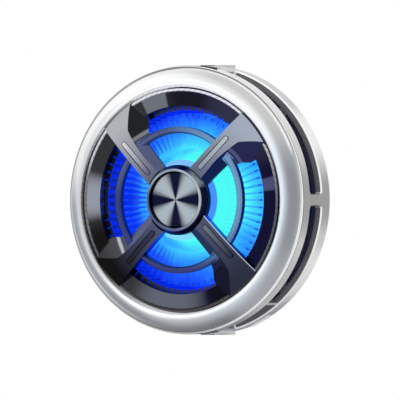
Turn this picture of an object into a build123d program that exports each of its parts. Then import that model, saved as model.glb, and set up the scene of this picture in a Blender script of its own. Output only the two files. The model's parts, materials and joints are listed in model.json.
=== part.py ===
from build123d import *
import os
from math import cos, radians, sin, sqrt

# Magnetic phone cooling fan, in millimetres, +Z up.
# The fan axis is Y and the front faces -Y.
# The origin is the centre of the rear face that rests on the phone.
# A name that ends in _at is a distance ahead of that face.
# Angles are polar, seen from the front: 0 is 3 o'clock and 90 is 12 o'clock.

os.makedirs("parts", exist_ok=True)

# Driving dimensions of the case
band_radius = 35.1
band_wall = 1.8
band_depth = 14.4
seam_at = 21.0
case_thickness = 1.4
opening_step = 10.4
magnet_body_step = 4.6
ear_proud = 0.35
band_bore = band_radius - band_wall
opening_radius = band_radius - opening_step
magnet_body_radius = band_radius - magnet_body_step
ear_radius = band_radius + ear_proud

# Driving dimensions of the cooling stack
blade_count = 72
fin_clearance = 3.4
fin_length = 6.4
impeller_clearance = 0.8
cold_plate_step = 15.1
peltier_share = 1.5
fin_outer_radius = band_bore - fin_clearance
fin_inner_radius = fin_outer_radius - fin_length
impeller_radius = fin_inner_radius - impeller_clearance
cold_plate_radius = band_radius - cold_plate_step
peltier_side = cold_plate_radius * peltier_share

# Shared clearances and cuts
glue_gap = 0.03
slip_gap = 0.12
air_gap = 0.4
overrun = 1.0
full_turn = 360

band_rear_at = seam_at - band_depth
cover_rear_at = band_rear_at - case_thickness


def station(front):
    """Plane parallel to the rear face, that far ahead of it."""
    return Plane.XZ.offset(front)


def turned(*points):
    """Half section of a turned piece, as pairs of radius and distance ahead."""
    with BuildSketch(Plane.XY) as section:
        with BuildLine():
            Polyline(*[(radius, -front) for radius, front in points], close=True)
        make_face()
    return section.sketch


def ring(inner, outer, rear, front):
    """Half section of a plain ring or disc."""
    return turned((inner, rear), (outer, rear), (outer, front), (inner, front))


def sector(inner, outer, start, end):
    """Flat ring sector between two angles."""
    middle = (start + end) / 2
    with BuildSketch(Plane.XY) as flat:
        with BuildLine():
            ThreePointArc(spot(outer, start), spot(outer, middle), spot(outer, end))
            Line(spot(outer, end), spot(inner, end))
            ThreePointArc(spot(inner, end), spot(inner, middle), spot(inner, start))
            Line(spot(inner, start), spot(outer, start))
        make_face()
    return flat.sketch


def spot(radius, angle):
    """Point at a radius and angle in a plane parallel to the rear face."""
    return (radius * cos(radians(angle)), radius * sin(radians(angle)))


def radial_plane(radius, angle, front):
    """Plane square to a radius; its x runs round the rim and its y to the rear."""
    x, z = spot(radius, angle)
    outward = (cos(radians(angle)), 0, sin(radians(angle)))
    around = (-sin(radians(angle)), 0, cos(radians(angle)))
    return Plane(origin=(x, -front, z), x_dir=around, z_dir=outward)


# Shared places of the port, the button and the indicator
bottom_angle = 270
port_width = 8.94
port_height = 3.26
port_corner = 1.5
port_wall = 0.3
port_length = 7.3
board_thickness = 1.0
board_front_at = band_rear_at + board_thickness
port_at = board_front_at + port_height / 2
button_angle = 296.5
control_at = 8.9
indicator_angle = 288.7
lens_radius = 0.6
pill_length = 6.2
pill_width = 2.1

# Shared places of the screws
screw_radius = 0.8
screw_head_radius = 1.3
screw_head_height = 0.8
drive_radius = 0.4
drive_depth = 0.4
drive_sides = 6
corner_angles = (45, 135, 225, 315)
grille_screw_step = 1.55
housing_screw_step = 1.3
clamp_screw_step = 3.9
grille_screw_radius = band_bore - grille_screw_step
housing_screw_radius = band_bore - housing_screw_step
clamp_screw_radius = fin_outer_radius - clamp_screw_step
boss_radius = 1.6
corner_spots_grille = [spot(grille_screw_radius, angle) for angle in corner_angles]
corner_spots_housing = [spot(housing_screw_radius, angle) for angle in corner_angles]
corner_spots_clamp = [spot(clamp_screw_radius, angle) for angle in corner_angles]

# Shared heights of the cooling stack, from the phone outwards
cold_flange_at = 1.8
cold_flange_width = 2.4
cold_flange_radius = cold_plate_radius + cold_flange_width
cold_top_at = 3.4
pad_thickness = 0.3
ceramic_thickness = 0.8
pellet_height = 1.4
cold_ceramic_at = cold_top_at + pad_thickness
pellet_at = cold_ceramic_at + ceramic_thickness
hot_ceramic_at = pellet_at + pellet_height
hot_pad_at = hot_ceramic_at + ceramic_thickness
sink_rear_at = hot_pad_at + pad_thickness
sink_base = 2.2
sink_front_at = sink_rear_at + sink_base

# Shared places of the blower
light_board_rise = 1.8
light_board_at = sink_front_at + light_board_rise
light_board_front_at = light_board_at + board_thickness
light_board_step = 0.9
board_screw_step = 2.2
light_board_radius = impeller_radius - light_board_step
board_screw_radius = light_board_radius - board_screw_step
board_screw_angles = (90, 210, 330)
board_screw_spots = [spot(board_screw_radius, angle) for angle in board_screw_angles]
impeller_rise = 1.3
impeller_rear_at = light_board_front_at + impeller_rise
blade_front_at = seam_at - air_gap
rotor_radius = 9.0
shaft_radius = 1.0
running_gap = 0.02
bearing_radius = 2.33

# Front bezel: a fat ring with a hollow back
bezel_step = 0.5
bezel_foot_rise = 0.3
bezel_shoulder_step = 0.85
bezel_shoulder_rise = 1.7
bezel_brow_step = 2.0
bezel_brow_rise = 3.25
bezel_crest_step = 3.4
bezel_crest_rise = 3.9
bezel_lip_step = 5.0
bezel_lip_rise = 2.5
bezel_foot = 1.4
bezel_lip_wall = 0.6
bezel_hollow_rise = 2.7
bezel_hollow_side_rise = 1.8
bezel_hollow_inner_step = 3.6
bezel_hollow_outer_step = 2.6
grille_flange = 1.0
bezel_radius = band_radius - bezel_step
bezel_shoulder_radius = bezel_radius - bezel_shoulder_step
bezel_brow_radius = bezel_radius - bezel_brow_step
bezel_crest_radius = bezel_radius - bezel_crest_step
bezel_lip_radius = bezel_radius - bezel_lip_step
bezel_hollow_inner = bezel_radius - bezel_hollow_inner_step
bezel_hollow_outer = bezel_radius - bezel_hollow_outer_step
bezel_foot_at = seam_at + bezel_foot_rise
bezel_shoulder_at = seam_at + bezel_shoulder_rise
bezel_brow_at = seam_at + bezel_brow_rise
bezel_crest_at = seam_at + bezel_crest_rise
bezel_lip_at = seam_at + bezel_lip_rise
bezel_hollow_at = seam_at + bezel_hollow_rise
bezel_hollow_side_at = seam_at + bezel_hollow_side_rise
grille_front_at = seam_at + grille_flange

with BuildPart() as front_bezel:
    with BuildSketch(Plane.XY):
        with BuildLine():
            Spline(
                (bezel_radius, -bezel_foot_at),
                (bezel_shoulder_radius, -bezel_shoulder_at),
                (bezel_brow_radius, -bezel_brow_at),
                (bezel_crest_radius, -bezel_crest_at),
                (bezel_lip_radius, -bezel_lip_at),
            )
            Line((bezel_lip_radius, -bezel_lip_at), (bezel_lip_radius, -grille_front_at))
            Polyline(
                (bezel_lip_radius, -grille_front_at),
                (bezel_lip_radius + bezel_lip_wall, -grille_front_at),
                (bezel_lip_radius + bezel_lip_wall, -bezel_hollow_side_at),
                (bezel_hollow_inner, -bezel_hollow_at),
                (bezel_hollow_outer, -bezel_hollow_at),
                (bezel_radius - bezel_foot, -bezel_hollow_side_at),
                (bezel_radius - bezel_foot, -bezel_foot_at),
                (bezel_radius, -bezel_foot_at),
            )
        make_face()
    revolve(axis=Axis.Y)

front_bezel.part.label = "front_bezel"
export_step(front_bezel.part, "parts/front_bezel.step")

# Seam ring: thin bright trim between the bezel and the band
seam_ring_step = 0.15
seam_ring_radius = band_radius - seam_ring_step

with BuildPart() as seam_ring:
    revolve(ring(bezel_radius - bezel_foot, seam_ring_radius, seam_at, bezel_foot_at), axis=Axis.Y)

seam_ring.part.label = "seam_ring"
export_step(seam_ring.part, "parts/seam_ring.step")

# Radii of the grille, and its heights measured from the seam
lip_gap = 0.4
lip_width = 0.75
dish_step = 0.05
grille_fit = 0.3
lip_outer_radius = bezel_lip_radius - lip_gap
lip_inner_radius = lip_outer_radius - lip_width
lip_rear_rise = 2.0
lip_front_rise = 2.95
lip_bevel = 0.2
dish_foot_rise = 0.3
dish_edge_rise = 2.3
dish_top_rise = 2.75
shelf_width = 2.9
shelf_radius = band_bore - shelf_width
dish_radius = lip_inner_radius - dish_step
dish_foot_radius = shelf_radius
grille_flange_radius = band_bore - grille_fit
lip_rear_at = seam_at + lip_rear_rise
lip_front_at = seam_at + lip_front_rise
dish_foot_at = seam_at + dish_foot_rise
dish_edge_at = seam_at + dish_edge_rise
dish_top_at = seam_at + dish_top_rise

# Spoke: a bar with one sloped side that runs out into a flare
spoke_angles = (45, 135, 225, 315)
spoke_start = 5.0
spoke_overreach = 1.8
spoke_reach = lip_outer_radius + spoke_overreach
spoke_straight_side = -3.0
spoke_near_edge = 1.38
spoke_near_foot = 2.96
spoke_near_foot_rise = 4.11
spoke_far_edge = 0.34
spoke_far_foot = 4.51
spoke_far_foot_rise = 2.66
spoke_low_rise = 1.5
spoke_front_rise = 5.0
spoke_flat_step = 0.3
spoke_upper_step = 9.0
spoke_upper_rise = 4.4
spoke_lower_step = 5.0
spoke_lower_rise = 3.75
spoke_tip_rise = 3.05
spoke_rear_rise = 2.9
spoke_rear_step = 4.8
spoke_waist_step = 4.1
spoke_waist_rise = 2.65
spoke_root_rise = 1.9
foot_corner_side = 3.83
foot_flare_length = 11.4
foot_flare_width = 9.55
flare_length = 13.0
hub_radius = 9.2
flare_low_rise = 2.2
flare_low_near = 6.92
flare_low_far = 10.43
flare_high_rise = 4.8
flare_high_near = -1.4
flare_high_far = 2.12
spoke_flat_radius = hub_radius + spoke_flat_step
spoke_upper_radius = spoke_reach - spoke_upper_step
spoke_lower_radius = spoke_reach - spoke_lower_step
spoke_rear_radius = hub_radius + spoke_rear_step
spoke_waist_radius = opening_radius - spoke_waist_step
foot_corner_along = spoke_reach - foot_flare_length
foot_end_across = foot_corner_side + foot_flare_width
flare_near_along = spoke_reach - flare_length
spoke_front_at = seam_at + spoke_front_rise
spoke_near_foot_at = seam_at + spoke_near_foot_rise
spoke_far_foot_at = seam_at + spoke_far_foot_rise
spoke_low_at = seam_at + spoke_low_rise
spoke_upper_at = seam_at + spoke_upper_rise
spoke_lower_at = seam_at + spoke_lower_rise
spoke_tip_at = seam_at + spoke_tip_rise
spoke_rear_at = seam_at + spoke_rear_rise
spoke_waist_at = seam_at + spoke_waist_rise
spoke_root_at = seam_at + spoke_root_rise
flare_low_at = seam_at + flare_low_rise
flare_high_at = seam_at + flare_high_rise

bar_near_section = (
    (spoke_low_at, spoke_straight_side),
    (spoke_low_at, spoke_near_foot),
    (spoke_near_foot_at, spoke_near_foot),
    (spoke_front_at, spoke_near_edge),
    (spoke_front_at, spoke_straight_side),
)
bar_far_section = (
    (spoke_low_at, spoke_straight_side),
    (spoke_low_at, spoke_far_foot),
    (spoke_far_foot_at, spoke_far_foot),
    (spoke_front_at, spoke_far_edge),
    (spoke_front_at, spoke_straight_side),
)
flare_low_corners = (
    (flare_near_along, spoke_straight_side),
    (flare_near_along, flare_low_near),
    (spoke_reach, flare_low_far),
    (spoke_reach, spoke_straight_side),
)
flare_high_corners = (
    (flare_near_along, spoke_straight_side),
    (flare_near_along, flare_high_near),
    (spoke_reach, flare_high_far),
    (spoke_reach, spoke_straight_side),
)
spoke_corners = (
    (spoke_start, spoke_straight_side),
    (spoke_start, spoke_near_foot),
    (foot_corner_along, foot_corner_side),
    (spoke_reach, foot_end_across),
    (spoke_reach, spoke_straight_side),
)


def outline(corners):
    """Flat outline from pairs along and across a spoke that points to 3 o'clock."""
    with BuildSketch(Plane.XY) as flat:
        with BuildLine():
            Polyline(*[(along, -across) for along, across in corners], close=True)
        make_face()
    return flat.sketch


def spoke_point(along, across, angle):
    """Point along a spoke and across it; across is positive on the clockwise side."""
    heading = (cos(radians(angle)), sin(radians(angle)))
    side = (sin(radians(angle)), -cos(radians(angle)))
    return (
        along * heading[0] + across * side[0],
        along * heading[1] + across * side[1],
    )


with BuildPart() as spoke:
    with BuildSketch(Plane.YZ.offset(spoke_start)) as bar_near:
        with BuildLine():
            Polyline(*[(-front, -across) for front, across in bar_near_section], close=True)
        make_face()
    with BuildSketch(Plane.YZ.offset(spoke_reach)) as bar_far:
        with BuildLine():
            Polyline(*[(-front, -across) for front, across in bar_far_section], close=True)
        make_face()
    loft([bar_near.sketch, bar_far.sketch], ruled=True)
    with BuildSketch(station(flare_low_at)) as flare_low:
        add(outline(flare_low_corners))
    with BuildSketch(station(flare_high_at)) as flare_high:
        add(outline(flare_high_corners))
    loft([flare_low.sketch, flare_high.sketch], ruled=True)
    with BuildSketch(station(seam_at)):
        add(outline(spoke_corners))
    extrude(amount=spoke_front_rise + overrun, mode=Mode.INTERSECT)

with BuildPart() as spoke_set:
    for angle in spoke_angles:
        add(spoke.part.rotate(Axis.Y, -angle))
    with BuildSketch(Plane.XY):
        with BuildLine():
            Polyline(
                (spoke_flat_radius, -spoke_front_at),
                (0, -spoke_front_at),
                (0, -spoke_rear_at),
                (spoke_rear_radius, -spoke_rear_at),
                (spoke_waist_radius, -spoke_waist_at),
                (opening_radius, -spoke_root_at),
                (lip_outer_radius, -spoke_root_at),
                (lip_outer_radius, -spoke_tip_at),
            )
            Spline(
                (lip_outer_radius, -spoke_tip_at),
                (spoke_lower_radius, -spoke_lower_at),
                (spoke_upper_radius, -spoke_upper_at),
                (spoke_flat_radius, -spoke_front_at),
            )
        make_face()
    revolve(axis=Axis.Y, mode=Mode.INTERSECT)

# Lip ring: light trim round the dish, between the spoke ends
with BuildPart() as lip_ring:
    revolve(
        turned(
            (lip_inner_radius, lip_rear_at),
            (lip_outer_radius, lip_rear_at),
            (lip_outer_radius, lip_front_at - lip_bevel),
            (lip_outer_radius - lip_bevel, lip_front_at),
            (lip_inner_radius + lip_bevel, lip_front_at),
            (lip_inner_radius, lip_front_at - lip_bevel),
        ),
        axis=Axis.Y,
    )
    add(spoke_set.part, mode=Mode.SUBTRACT)

lip_ring.part.label = "lip_ring"
export_step(lip_ring.part, "parts/lip_ring.step")

# Places of the mid ring, the hub and the inlays
mid_ring_step = 5.5
mid_ring_width = 1.7
mid_ring_outer = opening_radius - mid_ring_step
mid_ring_inner = mid_ring_outer - mid_ring_width
mid_ring_rear_rise = 2.4
mid_ring_front_rise = 4.3
mid_ring_bevel = 0.4
hub_rear_rise = 2.9
hub_front_rise = 3.8
hub_recess_step = 1.77
hub_recess_radius = hub_radius - hub_recess_step
hub_recess_rise = 3.5
inlay_start = 10.6
inlay_end_step = 2.5
inlay_side = -1.05
inlay_length = opening_radius - inlay_end_step - inlay_start
inlay_width = 1.15
inlay_groove = 0.22
inlay_pocket = 0.4
inlay_proud = 0.15
inlay_far_step = 0.7
inlay_far_radius = opening_radius - inlay_far_step
inlay_far_rise = 4.3
inlay_middle = inlay_start + inlay_length / 2
mid_ring_rear_at = seam_at + mid_ring_rear_rise
mid_ring_front_at = seam_at + mid_ring_front_rise
hub_rear_at = seam_at + hub_rear_rise
hub_front_at = seam_at + hub_front_rise
hub_recess_at = seam_at + hub_recess_rise
inlay_far_at = seam_at + inlay_far_rise


def inlay_solid(grow, proud):
    """Stadium plates let into the four spokes, up to a height above their fronts."""
    with BuildPart() as plates:
        with BuildSketch(station(seam_at)):
            for angle in spoke_angles:
                with Locations(spoke_point(inlay_middle, inlay_side, angle)):
                    SlotOverall(inlay_length + 2 * grow, inlay_width + 2 * grow, rotation=angle)
        extrude(amount=spoke_front_rise + 2 * overrun)
        revolve(
            turned(
                (spoke_flat_radius, spoke_front_at - inlay_pocket),
                (inlay_far_radius, inlay_far_at - inlay_pocket),
                (inlay_far_radius, inlay_far_at + proud),
                (spoke_flat_radius, spoke_front_at + proud),
            ),
            axis=Axis.Y,
            mode=Mode.INTERSECT,
        )
    return plates.part


# Grille: the spokes, a ring and a hub boss on a shallow dish
with BuildPart() as grille:
    revolve(
        turned(
            (opening_radius, dish_foot_at),
            (opening_radius, dish_edge_at),
            (dish_radius, dish_top_at),
            (dish_radius, lip_rear_at),
            (lip_outer_radius, lip_rear_at),
            (lip_outer_radius, grille_front_at),
            (grille_flange_radius, grille_front_at),
            (grille_flange_radius, seam_at),
            (dish_foot_radius, seam_at),
            (dish_foot_radius, dish_foot_at),
        ),
        axis=Axis.Y,
    )
    add(spoke_set.part)
    revolve(
        turned(
            (mid_ring_inner, mid_ring_rear_at),
            (mid_ring_inner, mid_ring_front_at - mid_ring_bevel),
            (mid_ring_inner + mid_ring_bevel, mid_ring_front_at),
            (mid_ring_outer - mid_ring_bevel, mid_ring_front_at),
            (mid_ring_outer, mid_ring_front_at - mid_ring_bevel),
            (mid_ring_outer, mid_ring_rear_at),
        ),
        axis=Axis.Y,
    )
    revolve(ring(0, hub_radius, hub_rear_at, hub_front_at), axis=Axis.Y)
    revolve(ring(0, hub_radius, hub_front_at, spoke_front_at), axis=Axis.Y, mode=Mode.SUBTRACT)
    revolve(
        ring(0, hub_recess_radius, hub_recess_at, spoke_front_at + overrun),
        axis=Axis.Y,
        mode=Mode.SUBTRACT,
    )
    add(inlay_solid(inlay_groove, overrun), mode=Mode.SUBTRACT)
    with BuildSketch(station(seam_at)):
        with Locations(*corner_spots_grille):
            Circle(screw_radius + slip_gap)
    extrude(amount=grille_flange + overrun, mode=Mode.SUBTRACT)

grille.part.label = "grille"
export_step(grille.part, "parts/grille.step")

# Spoke inlays: four stadium ribs, one in each spoke
with BuildPart() as spoke_inlays:
    add(inlay_solid(0, inlay_proud))

spoke_inlays.part.label = "spoke_inlays"
export_step(spoke_inlays.part, "parts/spoke_inlays.step")

# Hub rim: polished ring round the hub disc
rim_crest_rise = 6.4
rim_shoulder_rise = 4.5
rim_bevel = 0.12
rim_crest_step = 1.05
rim_crest_outer = hub_radius - rim_crest_step
rim_crest_at = seam_at + rim_crest_rise
rim_shoulder_at = seam_at + rim_shoulder_rise

with BuildPart() as hub_rim:
    revolve(
        turned(
            (hub_recess_radius, hub_front_at),
            (hub_radius, hub_front_at),
            (hub_radius, rim_shoulder_at),
            (rim_crest_outer, rim_crest_at),
            (hub_recess_radius + rim_bevel, rim_crest_at),
            (hub_recess_radius, rim_crest_at - rim_bevel),
        ),
        axis=Axis.Y,
    )

hub_rim.part.label = "hub_rim"
export_step(hub_rim.part, "parts/hub_rim.step")

# Hub disc: spun metal disc with a small flat at its foot
disc_front_rise = 5.4
disc_radius = hub_recess_radius - glue_gap
disc_front_at = seam_at + disc_front_rise
disc_flat_step = 0.32
disc_flat = disc_radius - disc_flat_step
disc_chamfer = 0.25

with BuildPart() as hub_disc:
    revolve(ring(0, disc_radius, hub_recess_at, disc_front_at), axis=Axis.Y)
    with BuildSketch(station(hub_recess_at)):
        with Locations((0, -disc_flat - disc_radius)):
            Rectangle(2 * disc_radius, 2 * disc_radius)
    extrude(amount=disc_front_at, mode=Mode.SUBTRACT)
    chamfer(hub_disc.faces().sort_by(Axis.Y)[0].edges(), length=disc_chamfer)

hub_disc.part.label = "hub_disc"
export_step(hub_disc.part, "parts/hub_disc.step")

# Side band: brushed wall with four long exhaust slots
slot_rear_at = 10.8
slot_front_at = 16.9
slot_corner = 1.2
slot_chamfer = 0.35
slot_starts = (2.5, 105, 182.5, 285)
slot_ends = (75, 177.5, 255, 357.5)
post_angle = 308.5
post_width = 0.9
shelf_thickness = 1.1
front_boss_depth = 3.4
rear_boss_height = 3.8
seam_chamfer = 0.25
groove_drop = 0.55
groove_width = 0.25
groove_depth = 0.18
bridge_pad_half_wide = 9.1
bridge_pad_half_narrow = 6.7
bridge_pad_front_drop = 0.75
bridge_pad_taper_drop = 4.6
bridge_pad_rear_rise = 0.6
bridge_pad_depth = 0.75
bridge_pad_proud = 0.08
vent_angle = 284.3
vent_length = 3.0
vent_width = 0.8
vent_depth = 0.5
groove_at = seam_at - groove_drop
bridge_pad_front_at = seam_at - bridge_pad_front_drop
bridge_pad_taper_at = seam_at - bridge_pad_taper_drop
bridge_pad_rear_at = band_rear_at + bridge_pad_rear_rise


def bridge_outline(grow):
    """Tapered outline of a bridge pad, seen from above."""
    wide = bridge_pad_half_wide + grow
    narrow = bridge_pad_half_narrow + grow
    with BuildSketch(Plane.XY) as flat:
        with BuildLine():
            Polyline(
                (-wide, -bridge_pad_front_at - grow),
                (wide, -bridge_pad_front_at - grow),
                (narrow, -bridge_pad_taper_at),
                (narrow, -bridge_pad_rear_at + grow),
                (-narrow, -bridge_pad_rear_at + grow),
                (-narrow, -bridge_pad_taper_at),
                close=True,
            )
        make_face()
    return flat.sketch


def bridge_solid(grow, depth, proud, upward):
    """Curved plate under a bridge pad's outline, at the top or the bottom."""
    with BuildPart() as plate:
        revolve(
            ring(
                band_radius - depth,
                band_radius + proud,
                band_rear_at - overrun,
                seam_at + overrun,
            ),
            axis=Axis.Y,
        )
        with BuildSketch(Plane.XY):
            add(bridge_outline(grow))
        extrude(amount=upward * 2 * band_radius, mode=Mode.INTERSECT)
    return plate.part


top_pocket = bridge_solid(glue_gap, bridge_pad_depth + glue_gap, overrun, 1)
bottom_pocket = bridge_solid(glue_gap, bridge_pad_depth + glue_gap, overrun, -1)

with BuildPart() as side_band:
    revolve(ring(band_bore, band_radius, band_rear_at, seam_at), axis=Axis.Y)
    for start, end in zip(slot_starts, slot_ends):
        with BuildSketch(station(slot_rear_at)):
            add(sector(band_bore - overrun, band_radius + overrun, start, end))
        extrude(amount=slot_front_at - slot_rear_at, mode=Mode.SUBTRACT)
    slot_corners = [
        edge
        for edge in side_band.edges().filter_by(GeomType.LINE)
        if abs(edge.length - band_wall) < glue_gap and abs(edge.tangent_at(0).Y) < glue_gap
    ]
    fillet(slot_corners, radius=slot_corner)
    chamfer(side_band.faces().sort_by(Axis.Y)[0].edges().sort_by(SortBy.LENGTH)[-1], seam_chamfer)
    slot_rims = [
        edge
        for edge in side_band.edges()
        if -slot_front_at - glue_gap < edge.center().Y < glue_gap - slot_rear_at
        and abs(sqrt((edge @ 0).X ** 2 + (edge @ 0).Z ** 2) - band_radius) < glue_gap
        and abs(sqrt((edge @ 1).X ** 2 + (edge @ 1).Z ** 2) - band_radius) < glue_gap
    ]
    chamfer(slot_rims, slot_chamfer)
    revolve(
        ring(band_radius - groove_depth, band_radius + overrun, groove_at, groove_at + groove_width),
        axis=Axis.Y,
        mode=Mode.SUBTRACT,
    )
    revolve(
        ring(shelf_radius, band_bore + band_wall / 2, seam_at - shelf_thickness, seam_at),
        axis=Axis.Y,
    )
    with BuildSketch(station(seam_at - front_boss_depth)):
        with Locations(*corner_spots_grille):
            Circle(boss_radius - slip_gap)
    extrude(amount=front_boss_depth)
    with BuildSketch(station(band_rear_at)):
        with Locations(*corner_spots_housing):
            Circle(boss_radius)
    extrude(amount=rear_boss_height)
    with BuildSketch(station(slot_rear_at - overrun)):
        post_middle = (band_bore + band_radius) / 2 - slot_chamfer / 2
        with Locations(spot(post_middle, post_angle)):
            Rectangle(band_wall - slot_chamfer, post_width, rotation=post_angle)
    extrude(amount=slot_front_at - slot_rear_at + 2 * overrun)
    with BuildSketch(station(band_rear_at)):
        with Locations(*corner_spots_housing):
            Circle(screw_radius + glue_gap)
    extrude(amount=rear_boss_height - slip_gap, mode=Mode.SUBTRACT)
    with BuildSketch(station(seam_at - front_boss_depth + slip_gap)):
        with Locations(*corner_spots_grille):
            Circle(screw_radius + glue_gap)
    extrude(amount=front_boss_depth, mode=Mode.SUBTRACT)
    add(top_pocket, mode=Mode.SUBTRACT)
    add(bottom_pocket, mode=Mode.SUBTRACT)
    with BuildSketch(radial_plane(band_bore - overrun, bottom_angle, port_at)):
        RectangleRounded(port_width + 2 * slip_gap, port_height + 2 * slip_gap, port_corner)
    extrude(amount=band_wall + 2 * overrun, mode=Mode.SUBTRACT)
    with BuildSketch(radial_plane(band_bore - overrun, button_angle, control_at)):
        SlotOverall(pill_length + 2 * slip_gap, pill_width + 2 * slip_gap)
    extrude(amount=band_wall + 2 * overrun, mode=Mode.SUBTRACT)
    with BuildSketch(radial_plane(band_bore - overrun, indicator_angle, control_at)):
        Circle(lens_radius + glue_gap)
    extrude(amount=band_wall + 2 * overrun, mode=Mode.SUBTRACT)
    with BuildSketch(radial_plane(band_radius - vent_depth, vent_angle, control_at)):
        SlotOverall(vent_length, vent_width)
    extrude(amount=overrun, mode=Mode.SUBTRACT)

side_band.part.label = "side_band"
export_step(side_band.part, "parts/side_band.step")

# Bridge pads: dark tapered plates between the slots, at top and bottom
with BuildPart() as top_bridge_pad:
    add(bridge_solid(0, bridge_pad_depth, bridge_pad_proud, 1))

top_bridge_pad.part.label = "top_bridge_pad"
export_step(top_bridge_pad.part, "parts/top_bridge_pad.step")

with BuildPart() as bottom_bridge_pad:
    add(bridge_solid(0, bridge_pad_depth, bridge_pad_proud, -1))
    with BuildSketch(radial_plane(band_bore, bottom_angle, port_at)):
        RectangleRounded(port_width + 2 * slip_gap, port_height + 2 * slip_gap, port_corner)
    extrude(amount=band_wall + overrun, mode=Mode.SUBTRACT)

bottom_bridge_pad.part.label = "bottom_bridge_pad"
export_step(bottom_bridge_pad.part, "parts/bottom_bridge_pad.step")

# Impeller: clear disc with a stepped hub and thin radial blades
impeller_disc = 0.8
impeller_hub_radius = 10.6
impeller_hub_rise = 2.0
impeller_hub_wall = 1.0
cone_front_drop = 4.2
step_share = 0.42
blade_root_step = 2.1
blade_thickness = 0.45
step_radius = impeller_hub_radius + step_share * (impeller_radius - impeller_hub_radius)
blade_inner_radius = step_radius - blade_root_step
impeller_hub_at = seam_at + impeller_hub_rise
cone_front_at = seam_at - cone_front_drop
blade_length = impeller_radius - blade_inner_radius
blade_middle = (impeller_radius + blade_inner_radius) / 2
impeller_disc_at = impeller_rear_at + impeller_disc
rotor_front_drop = 0.6
rotor_front_at = seam_at - rotor_front_drop
hub_floor_at = rotor_front_at + glue_gap

with BuildPart() as impeller:
    revolve(
        turned(
            (rotor_radius + glue_gap, impeller_rear_at),
            (impeller_radius, impeller_rear_at),
            (impeller_radius, impeller_disc_at),
            (step_radius, impeller_disc_at),
            (step_radius, impeller_disc_at + impeller_disc),
            (blade_inner_radius, impeller_disc_at + impeller_disc),
            (impeller_hub_radius, cone_front_at),
            (impeller_hub_radius, impeller_hub_at),
            (impeller_hub_radius - impeller_hub_wall, impeller_hub_at),
            (impeller_hub_radius - impeller_hub_wall, hub_floor_at + impeller_disc),
            (0, hub_floor_at + impeller_disc),
            (0, hub_floor_at),
            (rotor_radius + glue_gap, hub_floor_at),
        ),
        axis=Axis.Y,
    )
    with BuildSketch(station(impeller_disc_at - impeller_disc / 2)):
        with PolarLocations(blade_middle, blade_count):
            Rectangle(blade_length, blade_thickness)
    extrude(amount=blade_front_at - impeller_disc_at + impeller_disc / 2)

impeller.part.label = "impeller"
export_step(impeller.part, "parts/impeller.step")

# Rotor cup: steel cup that carries the magnet and the shaft
rotor_wall = 0.6
rotor_rear_rise = 0.3
rotor_boss_radius = 2.0
rotor_boss_height = 0.6
rotor_rear_at = impeller_rear_at + rotor_rear_rise

with BuildPart() as rotor_cup:
    revolve(
        turned(
            (rotor_radius - rotor_wall, rotor_rear_at),
            (rotor_radius, rotor_rear_at),
            (rotor_radius, rotor_front_at),
            (shaft_radius, rotor_front_at),
            (shaft_radius, rotor_front_at - rotor_wall - rotor_boss_height),
            (rotor_boss_radius, rotor_front_at - rotor_wall - rotor_boss_height),
            (rotor_boss_radius, rotor_front_at - rotor_wall),
            (rotor_radius - rotor_wall, rotor_front_at - rotor_wall),
        ),
        axis=Axis.Y,
    )

rotor_cup.part.label = "rotor_cup"
export_step(rotor_cup.part, "parts/rotor_cup.step")

# Rotor magnet: ring glued inside the cup
magnet_ring_wall = 0.75
magnet_ring_rise = 0.3
magnet_ring_outer = rotor_radius - rotor_wall - glue_gap
magnet_ring_rear_at = rotor_rear_at + magnet_ring_rise
magnet_ring_front_at = rotor_front_at - rotor_wall - air_gap

with BuildPart() as rotor_magnet:
    revolve(
        ring(
            magnet_ring_outer - magnet_ring_wall,
            magnet_ring_outer,
            magnet_ring_rear_at,
            magnet_ring_front_at,
        ),
        axis=Axis.Y,
    )

rotor_magnet.part.label = "rotor_magnet"
export_step(rotor_magnet.part, "parts/rotor_magnet.step")

# Motor base: flange and bearing tube on the heat sink
base_flange_radius = 7.2
base_flange = 1.0
tube_radius = 3.1
tube_front_at = rotor_front_at - rotor_wall - rotor_boss_height - air_gap
tube_floor_at = sink_front_at + base_flange

with BuildPart() as motor_base:
    revolve(
        turned(
            (0, sink_front_at),
            (base_flange_radius, sink_front_at),
            (base_flange_radius, tube_floor_at),
            (tube_radius, tube_floor_at),
            (tube_radius, tube_front_at),
            (bearing_radius, tube_front_at),
            (bearing_radius, tube_floor_at),
            (0, tube_floor_at),
        ),
        axis=Axis.Y,
    )

motor_base.part.label = "motor_base"
export_step(motor_base.part, "parts/motor_base.step")

# Thrust washer under the shaft
washer_thickness = 0.4

with BuildPart() as thrust_washer:
    revolve(
        ring(0, bearing_radius - glue_gap, tube_floor_at, tube_floor_at + washer_thickness),
        axis=Axis.Y,
    )

thrust_washer.part.label = "thrust_washer"
export_step(thrust_washer.part, "parts/thrust_washer.step")

# Shaft
shaft_rear_at = tube_floor_at + washer_thickness + running_gap

with BuildPart() as shaft:
    revolve(ring(0, shaft_radius, shaft_rear_at, rotor_front_at), axis=Axis.Y)

shaft.part.label = "shaft"
export_step(shaft.part, "parts/shaft.step")

# Sleeve bearing round the shaft
bearing_rear_at = tube_floor_at + washer_thickness + air_gap
bearing_front_at = tube_front_at - air_gap / 2

with BuildPart() as sleeve_bearing:
    revolve(
        ring(
            shaft_radius + running_gap,
            bearing_radius,
            bearing_rear_at,
            bearing_front_at,
        ),
        axis=Axis.Y,
    )

sleeve_bearing.part.label = "sleeve_bearing"
export_step(sleeve_bearing.part, "parts/sleeve_bearing.step")

# Stator core: ring with six teeth
tooth_count = 6
tooth_width = 1.5
tooth_tip_angle = 46
tooth_tip_depth = 0.6
stator_radius = magnet_ring_outer - magnet_ring_wall - air_gap
stator_yoke_radius = 4.1
stator_rise = 4.6
stator_height = 2.6
stator_rear_at = tube_floor_at + stator_rise

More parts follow.
